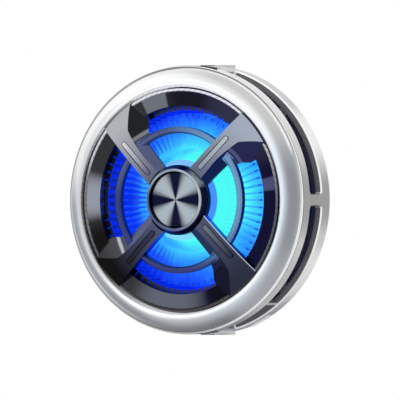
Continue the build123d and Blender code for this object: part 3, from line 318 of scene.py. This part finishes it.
# Bezel, band and trim
def pearl_silver():
    """Satin silver of the bezel: near white, with a painted grey reflection band that pales at the
    upper left, painted highlights and reflections, and a painted emission gleam on the inner slope.
    """
    tree = Tree("pearl_silver")
    at = tree.position()

    # The painted grey reflection band's middle lies at 33.4 mm, further in at the lower left and out
    # at the foot
    middle = tree.math(
        "ADD",
        tree.span(tree.toward(-155), 0.6, 1.0, 33.4, 31.6, True),
        tree.span(tree.toward(-72), 0.74, 0.99, 0.0, 0.9, True),
    )
    offset = tree.math("SUBTRACT", at.radius, middle)
    inner_fade = tree.span(offset, -2.9, -0.2, smooth=True)
    outer_fade = tree.span(offset, 2.6, 0.4, smooth=True)
    grey_reflection_weight = tree.math("MINIMUM", inner_fade, outer_fade)
    # Painted grey reflections: darker at the right and the foot, paler at the lower right, the top
    # and the upper left
    grey = tree.sheen(
        (158, 162, 167),
        (0, 30, (142, 146, 152)),
        (-78, 40, (134, 137, 143)),
        (-44, 25, (184, 188, 194)),
        (62, 50, 205),
        (128, 58, 250),
    )
    # Painted reflections on the near-white silver: lighter at the top, greyer at the foot and at the
    # upper left
    white = tree.sheen(
        (221, 230, 240),
        (90, 75, (240, 242, 245)),
        (-100, 45, (208, 212, 216)),
        (150, 30, (214, 216, 218)),
    )
    # Painted highlight near the outer edge at the upper right, and a painted dark reflection along
    # the outer edge at the upper left
    painted_glint = tree.product(tree.span(at.radius, 34.05, 34.35), tree.arc(25, 88))
    painted_dark_edge = tree.product(tree.span(at.radius, 34.38, 34.48), tree.arc(95, 178))
    # Painted reflection on the inner slope: white, greyer at the lower left
    inner_slope = tree.span(at.radius, 30.9, 30.3)
    inner = tree.sheen(250, (-165, 60, 208))
    colour = tree.layers(
        white, (grey_reflection_weight, grey), (painted_glint, tone(245)), (painted_dark_edge, tone(160)), (inner_slope, inner)
    )
    # Painted gleam: a weak emission on the inner slope, strongest at the foot and the top, in place
    # of a highlight
    painted_gleam = tree.sheen(0, (-80, 65, 188), (80, 75, 155))
    tree.set(
        Emission_Color=tree.mix(inner_slope, (0, 0, 0), painted_gleam),
        Emission_Strength=1.0,
    )
    return painted(tree, colour, 0.9, 0.25, tree.noise(at.place, 3.0, 3.0), 0.005, 0.0004)


def brushed_band():
    """Metal brushed round the rim, with painted reflections that change round it, a painted highlight
    on the slots' edges, and dull on the slots' walls.
    """
    tree = Tree("brushed_band")
    at = tree.position()
    lines = tree.brushing(3.0, 9.0, 1.4, 6.0)
    fine = tree.brushing(16.0, 30.0, 1.0, 3.0)
    streak = tree.math("ADD", tree.product(lines, 0.6), tree.product(fine, 0.4))
    # Painted reflections on the front strip and the rear band: darker and paler patches round the rim
    strip_sheen = tree.sheen(204, (-84, 34, (88, 93, 103)), (0, 20, 158), (58, 40, 230))
    strip_sheen = tree.grain(strip_sheen, tree.knurl(170.0, at.y, 2.6), 0.04, -1.0, 1.0)
    rear = tree.sheen(204, (-66, 20, (146, 150, 160)), (-34, 16, 238), (0, 16, 156), (30, 16, 240))
    facing = tree.math("ABSOLUTE", tree.normal().y)
    # Painted highlight on the slots' chamfered edges
    edge = tree.within(facing, 0.5, 0.85, 0.05)
    slot_wall = tree.product(tree.span(facing, 0.93, 0.98), tree.span(at.y, -20.0, -19.0))
    colour = tree.layers(
        rear, (tree.span(at.y, -16.5, -17.2), strip_sheen), (edge, tone(248)), (slot_wall, tone(150))
    )
    return painted(tree, colour, tree.span(slot_wall, 0.0, 1.0, 0.9, 0.1), 0.36, streak, 0.05, 0.004)


def seam_trim():
    """Thin bright line between bezel and band, with a painted reflection: bright at the lower right,
    dull at the top and left.
    """
    tree = Tree("seam_trim")
    colour = tree.sheen(155, (-30, 58, 230), (78, 48, 120))
    return painted(tree, colour, 0.9, 0.24, tree.noise(tree.position().place, 8.0, 3.0), 0.02, 0.001)


def lip_metal():
    """Satin trim with a fine slanted knurl, and painted reflections that make it pale at the top and
    dark at the foot.
    """
    tree = Tree("lip_metal")
    at = tree.position()
    colour = tree.sheen((86, 88, 94), (100, 110, (216, 218, 226)), (-90, 50, 58), (180, 22, 118))
    colour = tree.grain(colour, tree.knurl(110.0, at.radius, 5.0), 0.13, -0.6, 0.8)
    return painted(tree, colour, 0.85, 0.3, tree.noise(at.place, 8.0, 3.0), 0.02)


# Grille
def spoke_fronts(tree):
    """Front faces of the spokes with painted light: pale above and dark below, in a shade for each
    spoke, and a painted highlight along one edge.
    """
    at = tree.position()
    outward = tree.span(at.radius, 10.0, 26.0)
    lower = tree.mix(outward, tone((72, 77, 104)), tree.quarters(147, 167, 8, (42, 48, 66)))
    upper = tree.mix(
        outward, tone((92, 99, 120)), tree.quarters((147, 155, 170), (166, 168, 172), 60, 60)
    )
    face = tree.mix(tree.span(at.z, -4.0, 4.0), lower, upper)
    # Painted highlight along one edge of the lower right spoke
    edge = tree.product(
        tree.within(tree.math("ADD", at.x, at.z), 3.95, 4.4, 0.05),
        tree.span(at.x, 6.0, 7.0),
        tree.span(at.z, -3.0, -4.0),
    )
    return tree.mix(edge, face, tone((190, 200, 208)))


def spoke_sides(tree):
    """Sloped sides of the spokes in painted shades for each spoke, with a painted highlight at the
    kink where they turn into the flare, and painted shade further out at the lower left.
    """
    at = tree.position()
    beside = tree.mix(
        tree.span(at.radius, 18.5, 20.5),
        tree.quarters((15, 32, 82), (75, 82, 111), (87, 94, 124), (28, 52, 90)),
        tree.quarters((36, 40, 80), (26, 27, 30), (68, 68, 74), (10, 10, 40)),
    )
    # Painted highlight where the sides turn into the flare, a shade for each spoke
    kink_highlight = tree.quarters((80, 85, 130), (112, 114, 120), (176, 176, 186), (22, 26, 66))
    lower_left = tree.product(tree.span(at.x, 1.0, -1.0), tree.span(at.z, 1.0, -1.0))
    kink_radius = tree.math("SUBTRACT", at.radius, tree.product(lower_left, 0.8))
    beside = tree.mix(tree.within(kink_radius, 20.3, 20.8, 0.5), beside, kink_highlight)
    # Painted shade on the outer part of the lower left spoke's sides
    fade = tree.product(lower_left, tree.span(at.radius, 23.0, 27.5, 0.0, 0.5))
    return tree.mix(fade, beside, tone(20))


def dish_shades(tree):
    """Dark dish with painted broad reflections, two sharp painted reflection facets, and a base that
    is darker and bluer at the right.
    """
    base = tree.mix(
        tree.span(tree.math("COSINE", tree.position().angle), -0.3, 0.3),
        tone((46, 47, 50)),
        tone((8, 8, 44)),
    )
    dish = tree.reflect(
        base,
        (178, 15, (138, 143, 154)),
        (-152, 20, 12),
        (-97, 27, (88, 92, 104)),
        (-60, 16, (4, 4, 14)),
        (50, 34, (46, 47, 70)),
        (86, 16, (20, 20, 32)),
    )
    return tree.layers(
        dish,
        (tree.arc(6, 12, FACET_EDGE), tone((70, 75, 110))),
        (tree.arc(100, 114, FACET_EDGE), tone((106, 110, 120))),
    )


def grille_paint():
    """Gunmetal paint with painted light: pale on the upper spokes and dark below, painted reflection
    facets in the dish, painted reflections on the ring and the boss, and painted blue light on walls
    of the lower half.
    """
    tree = Tree("gunmetal_paint")
    at = tree.position()
    normal = tree.normal()
    rise = tree.rise()

    # Walls of the lower half that face right, in painted blue light from the glow behind them
    blue = tree.mix(tree.span(at.radius, 11.0, 24.0), tone((0, 92, 215)), tone((10, 20, 90)))
    blue_light_zone = tree.product(
        tree.span(normal.x, 0.3, 0.5),
        tree.span(tree.math("ABSOLUTE", normal.y), 0.4, 0.25),
        tree.span(at.z, 0.0, -2.0),
    )

    # The ring half way out: its sides in a painted dark blue shade, its front in painted reflections
    ring = tree.sheen((54, 62, 118), (20, 100, (106, 144, 184)), (135, 45, STEEL))
    ring_zone = tree.product(tree.within(at.radius, 17.2, 19.5, 0.1), tree.span(rise, 4.5, 4.4))
    ring_front = tree.product(ring_zone, tree.frontal(-0.5, -0.6))

    # The dish reaches from the opening to the lip, and climbs on the way
    climb = tree.math("SUBTRACT", rise, tree.span(at.radius, 24.7, 28.4, 2.3, 2.75))
    dish_zone = tree.product(tree.span(at.radius, 24.4, 24.6), tree.span(climb, 0.2, 0.1))

    # Painted reflections on the hub's boss
    boss = tree.sheen((12, 32, 86), (180, 60, (40, 44, 82)), (90, 50, (40, 55, 90)))
    boss_zone = tree.product(tree.span(at.radius, 9.6, 9.4), tree.span(rise, 4.2, 4.0))
    colour = tree.layers(
        spoke_sides(tree),
        (blue_light_zone, blue),
        (tree.frontal(-0.958, -0.97), spoke_fronts(tree)),
        (dish_zone, dish_shades(tree)),
        (ring_zone, tone((26, 42, 120))),
        (ring_front, ring),
        (boss_zone, boss),
    )
    return painted(tree, colour, 0.92, 0.3, tree.noise(at.place, 7.0), 0.04)


def inlay_paint():
    """Satin inserts of the spokes with painted light: pale above and dark below, in a shade for each
    spoke.
    """
    tree = Tree("inlay_paint")
    at = tree.position()
    colour = tree.mix(
        tree.span(at.radius, 11.0, 22.0),
        tree.quarters((128, 142, 154), (92, 90, 124), (52, 50, 76), (104, 114, 120)),
        tree.quarters((172, 178, 184), (198, 199, 203), (26, 26, 28), (38, 38, 62)),
    )
    return painted(tree, colour, 0.9, 0.3, tree.noise(at.place, 7.0), 0.04)


# Hub
def hub_chrome():
    """Bevelled rim of the hub in painted reflections: a pale crest, a navy slope with three paler
    reflections, and a navy inner wall that is paler at the foot.
    """
    tree = Tree("hub_chrome")
    at = tree.position()
    crest = tree.sheen(STEEL, (25, 125, PALE_STEEL), (125, 45, (138, 149, 162)))
    slope = tree.sheen(NIGHT, (180, 34, STEEL), (46, 26, PALE_STEEL), (138, 26, (142, 152, 170)))
    inner = tree.sheen(NIGHT, (-90, 50, (100, 113, 138)))
    colour = tree.layers(
        slope, (tree.span(tree.rise(), 6.15, 6.3), crest), (tree.span(at.radius, 7.6, 7.5), inner)
    )
    return painted(tree, colour, 0.92, 0.22, tree.noise(at.place, 6.0, 3.0), 0.03)


def spun_disc():
    """Spun dark metal: fine rings, and four painted pale reflection sweeps that meet at the centre.
    """
    tree = Tree("spun_disc")
    painted_sweeps = [(46 + 90 * quarter, 35, PALE_STEEL) for quarter in range(4)]
    return painted(tree, tree.sheen(NIGHT, *painted_sweeps), 0.92, 0.3, tree.rings(22.0), 0.12, 0.004)


# Impeller and what it lights
def lit_plastic():
    """Clear plastic with a painted glow in place of the light from behind: blue at the left, cyan at
    the right and near the hub.
    """
    tree = Tree("lit_plastic")
    at = tree.position()
    rise = tree.rise()
    bright_radius = 17.4
    cosine = tree.math("COSINE", at.angle)
    sine = tree.math("SINE", at.angle)
    lean = tree.math("ADD", tree.product(cosine, 0.3), tree.product(sine, 0.05))
    inside = tree.math("MAXIMUM", tree.math("SUBTRACT", bright_radius, at.radius), 0.0)
    outside = tree.math("MAXIMUM", tree.math("SUBTRACT", at.radius, bright_radius), 0.0)
    slope = tree.math("SUBTRACT", tree.product(inside, 0.1), tree.product(outside, 0.055))
    cloud = tree.span(tree.noise(at.place, 0.18, 3.0), *NOISE_RANGE, 0.36, 0.54)
    level = tree.math("ADD", tree.math("ADD", lean, slope), cloud)
    # Painted glow from a level that rises towards the right and towards the hub, through a ramp from
    # blue to cyan
    glow = tree.ramp(
        level,
        (
            (0.0, srgb(4, 46, 236)),
            (0.25, srgb(28, 88, 255)),
            (0.5, srgb(44, 150, 253)),
            (0.78, srgb(62, 205, 252)),
            (1.0, srgb(76, 248, 244)),
        ),
    )

    # Painted darker blue shade on the blades' front edges: in two belts at the left, and at the tips
    left = tree.span(cosine, -0.15, -0.5, 0.0, 0.6)
    belts = tree.math(
        "MAXIMUM", tree.within(at.radius, 14.6, 17.4, 0.8), tree.span(at.radius, 19.0, 20.0)
    )
    tips = tree.product(tree.span(at.radius, 21.5, 22.1), 0.75)
    deep_zone = tree.product(
        tree.frontal(),
        tree.within(rise, -1.0, 0.6, 0.2),
        tree.math("MAXIMUM", tree.product(left, belts), tips),
    )

    # Painted glow on the front and the inside of the impeller's hub, paler at the top and the foot
    crown = tree.sheen((68, 146, 250), (-90, 60, (126, 220, 248)), (90, 60, (124, 190, 252)))
    crown_zone = tree.math(
        "MAXIMUM",
        tree.product(tree.span(rise, 1.75, 1.9), tree.frontal()),
        tree.span(at.radius, 9.75, 9.65),
    )
    tree.set(
        Base_Color=(0.0, 0.0, 0.0, 1),
        Metallic=0.0,
        Roughness=0.3,
        Specular_IOR_Level=0.08,
        Emission_Color=tree.layers(glow, (deep_zone, srgb(0, 32, 200)), (crown_zone, crown)),
        Emission_Strength=1.0,
    )
    return tree.material


def sink_anodised():
    """Dark anodised metal with painted blue light and emission towards the impeller; its front fin
    tabs are slate, with painted blue reflections.
    """
    tree = Tree("sink_anodised")
    at = tree.position()
    rise = tree.rise()
    # Slate fin tabs with painted blue reflections: navy at the top and the foot, dark blue at the
    # right
    slate = tree.sheen((36, 44, 60), (-75, 50, NAVY), (0, 40, (16, 18, 84)), (75, 45, NAVY))
    tabs = tree.product(tree.frontal(), tree.span(rise, -0.6, -0.5))
    # Painted blue emission, stronger near the impeller and at the left behind the fins, none on the
    # tabs
    reach = tree.math(
        "MAXIMUM",
        tree.span(at.radius, 27.0, 23.6, 0.06, 0.5),
        tree.product(tree.span(at.x, -16.0, -20.0), tree.span(rise, -0.6, -1.2, 0.0, 0.5)),
    )
    painted_blue_glow = tree.product(reach, tree.span(tabs, 0.5, 0.0))
    tree.set(Emission_Color=(*srgb(8, 50, 215), 1), Emission_Strength=painted_blue_glow)
    # Painted blue light on the fins' inner ends near the impeller
    colour = tree.layers(
        tone((8, 8, 11)), (tree.span(at.radius, 25.4, 24.2), tone((22, 78, 215))), (tabs, slate)
    )
    return painted(tree, colour, 0.85, 0.36, tree.noise(at.place, 9.0), 0.08)


def lit_board():
    """Circuit board in black, with painted blue light and emission where it lies under the impeller.
    """
    tree = Tree("lit_board")
    at = tree.position()
    fine = tree.noise(at.place, 7.0, 5.0)
    painted_flood = tree.product(tree.span(at.radius, 23.4, 22.6), tree.span(tree.rise(), -12.0, -11.0))
    colour = tree.mix(painted_flood, srgb(16, 22, 30), srgb(60, 120, 240))
    tree.set(
        Emission_Color=tree.mix(tree.span(fine, *NOISE_RANGE), srgb(0, 44, 190), srgb(0, 60, 220)),
        Emission_Strength=tree.product(painted_flood, 0.8),
    )
    return painted(tree, colour, 0.0, 0.35, fine, 0.1, 0.004)


# Rear shell, bridge pads and turned pieces
def bridge_gloss():
    """Bridge pads: dark towards the front, pale towards the rear."""
    tree = Tree("bridge_gloss")
    at = tree.position()
    # Painted shade: the upper pad darkens towards the front, the lower pad takes a flat bluish grey
    upper = tree.mix(tree.span(at.y, -20.0, -14.8), tone(68), tone(126))
    dark = tree.mix(tree.span(at.z, -1.0, 1.0), tone((116, 122, 136)), upper)
    pale = tree.span(at.y, -14.6, -14.3)
    colour = tree.mix(pale, dark, tone(218))
    tree.set(Specular_IOR_Level=0.0)
    return painted(tree, colour, tree.product(pale, 0.7), 0.3, tree.noise(at.place, 4.0), 0.03)


def case_satin():
    """Grey rear shell; its ears are pale, with a shaded front on the left half."""
    tree = Tree("case_satin")
    at = tree.position()
    upper = tree.mix(tree.span(at.x, -4.0, 0.4), tone(58), tone(108))
    shadow = tree.mix(tree.span(at.z, -1.0, 1.0), tone((100, 106, 118)), upper)
    shaded = tree.product(tree.frontal(-0.5, -0.7), tree.span(at.x, 0.7, 0.3))
    ear = tree.mix(shaded, tone((210, 211, 213)), shadow)
    colour = tree.mix(tree.span(at.radius, 33.6, 34.0), tone((150, 151, 154)), ear)
    return painted(tree, colour, 0.6, 0.36, tree.noise(at.place, 6.0), 0.04, 0.004)


def turned_metal(name, colour, metallic, rough, pitch):
    """Lathe-turned metal with fine rings about the fan axis."""
    tree = Tree(name)
    return painted(tree, colour, metallic, rough, tree.rings(pitch), 0.1, 0.004)


# One material for each slot of the record
finishes = {
    "satin_silver": pearl_silver(),
    "brushed_silver": brushed_band(),
    "gunmetal": grille_paint(),
    "spun_metal": spun_disc(),
    "clear_blue": lit_plastic(),
    "lip_silver": lip_metal(),
    "cold_aluminium": turned_metal("turned_aluminium", srgb(205, 207, 210), 0.8, 0.3, 9.0),
    "bright_trim": seam_trim(),
    "dark_chrome": hub_chrome(),
    "rotor_steel": turned_metal("rotor_steel", srgb(150, 152, 156), 0.9, 0.3, 8.0),
    "inlay_grey": inlay_paint(),
    "black_gloss": bridge_gloss(),
    "ferrite": plain("ferrite", srgb(52, 52, 55), 0.1, 0.6, 4.0, 0.12, 0.1, 0.01),
    "bronze": plain("sintered_bronze", srgb(176, 132, 84), 0.8, 0.42, 8.0, 0.12, 0.1, 0.01),
    "washer_nylon": plain("nylon", srgb(232, 229, 220), 0.0, 0.45, 5.0, 0.03),
    "base_black": plain("moulded_black", srgb(34, 34, 37), 0.0, 0.5, 5.0, 0.1, 0.08, 0.008),
    "lamination": plain("laminated_steel", srgb(130, 132, 137), 0.8, 0.4, 12.0, 0.1),
    "copper_wire": plain("copper_wire", srgb(190, 98, 52), 0.7, 0.3, 10.0, 0.12, 0.08, 0.02),
    "board_black": lit_board(),
    "led_white": plain("led_resin", srgb(225, 232, 245), 0.0, 0.25, 5.0, 0.02),
    "sink_dark": sink_anodised(),
    "thermal_grey": plain("thermal_pad", srgb(150, 151, 154), 0.0, 0.7, 6.0, 0.08, 0.08, 0.01),
    "ceramic_white": plain("ceramic", srgb(238, 237, 232), 0.0, 0.45, 8.0, 0.03),
    "pellet_grey": plain("pellets", srgb(84, 84, 90), 0.6, 0.45, 9.0, 0.12),
    "foam_black": plain("foam", srgb(30, 30, 31), 0.0, 0.9, 6.0, 0.2, 0.05, 0.06),
    "case_grey": case_satin(),
    "magnet_nickel": plain("nickel", srgb(206, 203, 196), 0.9, 0.2, 3.0, 0.05),
    "soft_black": plain("soft_silicone", srgb(32, 32, 34), 0.0, 0.75, 7.0, 0.12, 0.08, 0.01),
    "chip_black": plain("chip_resin", srgb(22, 22, 23), 0.0, 0.5, 9.0, 0.1),
    "port_steel": plain("drawn_steel", srgb(188, 189, 191), 0.9, 0.25, 4.0, 0.06),
    "button_silver": plain("button_silver", srgb(250, 252, 254), 0.2, 0.25, 5.0, 0.02),
    "switch_black": plain("switch_resin", srgb(24, 24, 25), 0.0, 0.45, 6.0, 0.1),
    "lens_smoke": plain("smoked_lens", srgb(120, 124, 132), 0.0, 0.12, 3.0, 0.05),
    "lead_red": plain("lead_red", srgb(196, 34, 28), 0.0, 0.45, 5.0, 0.08),
    "lead_black": plain("lead_black", srgb(24, 24, 25), 0.0, 0.45, 5.0, 0.08),
    "lead_grey": plain("lead_grey", srgb(150, 150, 152), 0.0, 0.45, 5.0, 0.08),
    "screw_steel": plain("screw_steel", srgb(150, 152, 155), 0.9, 0.3, 6.0, 0.08),
}
for part in frame["record"]["subparts"]:
    for slot in nodes[part["node"]].material_slots:
        slot.material = finishes[part["material_slot"]]


# Stage: a round pale floor that fades into the white background
FLOOR_HEIGHT = -60 * MM
FLOOR_RADIUS = 0.9
FLOOR_SIDES = 96
FLOOR_DARK = (0.86, 0.86, 0.86)
FLOOR_LIGHT = (0.9, 0.9, 0.9)

# Millimetres from the middle where the floor starts to fade, and where it is all white
FADE_FROM = 60.0
FADE_FULL = 150.0
FADE_LEAST = 0.45


def seen_rays(tree_nodes, tree_links):
    """One for camera, glossy and transmission rays, and nothing for rays that only carry light."""
    path = tree_nodes.new("ShaderNodeLightPath")
    seen = path.outputs["Is Camera Ray"]
    for name in ("Is Glossy Ray", "Is Transmission Ray"):
        node = tree_nodes.new("ShaderNodeMath")
        node.operation = "MAXIMUM"
        tree_links.new(seen, node.inputs[0])
        tree_links.new(path.outputs[name], node.inputs[1])
        seen = node.outputs[0]
    return seen


def pale_floor():
    tree = Tree("pale_floor")
    at = tree.position()
    reach = tree.math(
        "SQRT", tree.math("ADD", tree.product(at.x, at.x), tree.product(at.y, at.y))
    )
    grain = tree.noise(at.place, 0.4)
    tree.set(
        Base_Color=tree.mix(tree.span(grain, *NOISE_RANGE), FLOOR_DARK, FLOOR_LIGHT),
        Roughness=0.85,
    )
    fade = tree.span(reach, FADE_FROM, FADE_FULL, FADE_LEAST, 1.0, True)
    factor = tree.product(seen_rays(tree.nodes, tree.links), fade)
    glow = tree.nodes.new("ShaderNodeEmission")
    blend = tree.nodes.new("ShaderNodeMixShader")
    tree.feed(blend.inputs[0], factor)
    tree.links.new(tree.shader.outputs[0], blend.inputs[1])
    tree.links.new(glow.outputs[0], blend.inputs[2])
    tree.links.new(blend.outputs[0], tree.nodes["Material Output"].inputs["Surface"])
    return tree.material


rim = [
    (
        FLOOR_RADIUS * math.cos(2 * math.pi * side / FLOOR_SIDES),
        FLOOR_RADIUS * math.sin(2 * math.pi * side / FLOOR_SIDES),
        FLOOR_HEIGHT,
    )
    for side in range(FLOOR_SIDES)
]
floor_mesh = bpy.data.meshes.new("floor")
floor_mesh.from_pydata(rim, [], [list(range(FLOOR_SIDES))])
floor_mesh.materials.append(pale_floor())
floor = bpy.data.objects.new("floor", floor_mesh)
bpy.context.collection.objects.link(floor)

# World: white behind the object and in its gloss, a plain grey fill for the light
FILL = 0.55
world = bpy.data.worlds.new("world")
world.use_nodes = True
bpy.context.scene.world = world
world_nodes = world.node_tree.nodes
world_links = world.node_tree.links
background = world_nodes["Background"]
strength = world_nodes.new("ShaderNodeMapRange")
strength.inputs["To Min"].default_value = FILL
strength.inputs["To Max"].default_value = 1.0
world_links.new(seen_rays(world_nodes, world_links), strength.inputs["Value"])
world_links.new(strength.outputs[0], background.inputs["Strength"])
background.inputs["Color"].default_value = (1, 1, 1, 1)

# Lamps, each with its place and width in metres and its power: a broad key from the
# upper left, and a soft fill in front
LAMPS = (
    ("key", (-0.42, -0.62, 0.52), 2.2, 3.0),
    ("front", (0.1, -0.9, 0.1), 1.4, 0.8),
)
for name, place, width, power in LAMPS:
    lamp_data = bpy.data.lights.new(name, "AREA")
    lamp_data.size = width
    lamp_data.energy = power
    lamp = bpy.data.objects.new(name, lamp_data)
    lamp.location = place
    lamp.visible_camera = False
    lamp.rotation_euler = (CAMERA_TARGET - Vector(place)).to_track_quat("-Z", "Y").to_euler()
    bpy.context.collection.objects.link(lamp)
